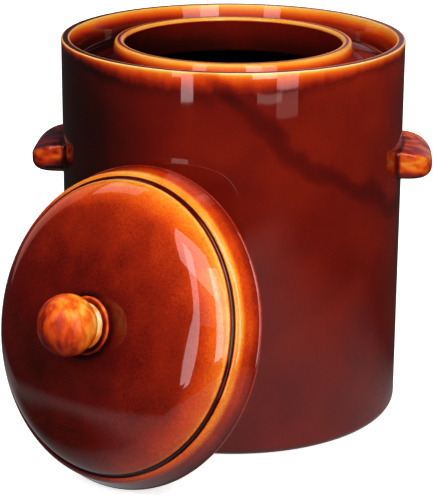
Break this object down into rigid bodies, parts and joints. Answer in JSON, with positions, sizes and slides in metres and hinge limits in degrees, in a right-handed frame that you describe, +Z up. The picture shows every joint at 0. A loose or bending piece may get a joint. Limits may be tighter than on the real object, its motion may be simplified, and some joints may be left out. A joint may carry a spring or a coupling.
{
  "type": "water seal pickle jar",
  "caption": "Straight-sided glazed stoneware crock with a water gutter round its neck, stub lugs, a domed lid with a ball knob leaning beside it, and half-moon weighting stones inside.",
  "frame": {"origin": "middle of the crock's foot, on the ground", "axes": "+Z up along the crock's axis, +X through the right lug, -Y towards the front"},
  "size_m": [0.3047, 0.3551, 0.278],
  "materials": {
    "brown_glaze": "glossy red-brown reduction glaze breaking to amber on its edges",
    "lug_glaze": "the same glaze, thinner and more orange on the lugs",
    "lid_glaze": "the same glaze, redder and orange near the shoulder",
    "knob_glaze": "the same glaze, amber where it is thin on the ball",
    "bare_stoneware": "unglazed buff stoneware, fired matt"
  },
  "bodies": {
    "crock": {"crock_body": "brown_glaze", "left_handle": "lug_glaze", "right_handle": "lug_glaze"},
    "lid": {"lid": "lid_glaze", "lid_knob": "knob_glaze"},
    "stone_left": {"weight_stone_left": "bare_stoneware"},
    "stone_right": {"weight_stone_right": "bare_stoneware"}
  },
  "joints": [
    {"name": "lid_lift", "type": "slide", "parent": "crock", "child": "lid", "axis": [0, 0, 1], "range_m": [0, 0.3]},
    {"name": "stone_left_lift", "type": "slide", "parent": "crock", "child": "stone_left", "axis": [0, 0, 1], "range_m": [0, 0.2]},
    {"name": "stone_right_lift", "type": "slide", "parent": "crock", "child": "stone_right", "axis": [0, 0, 1], "range_m": [0, 0.2]}
  ]
}
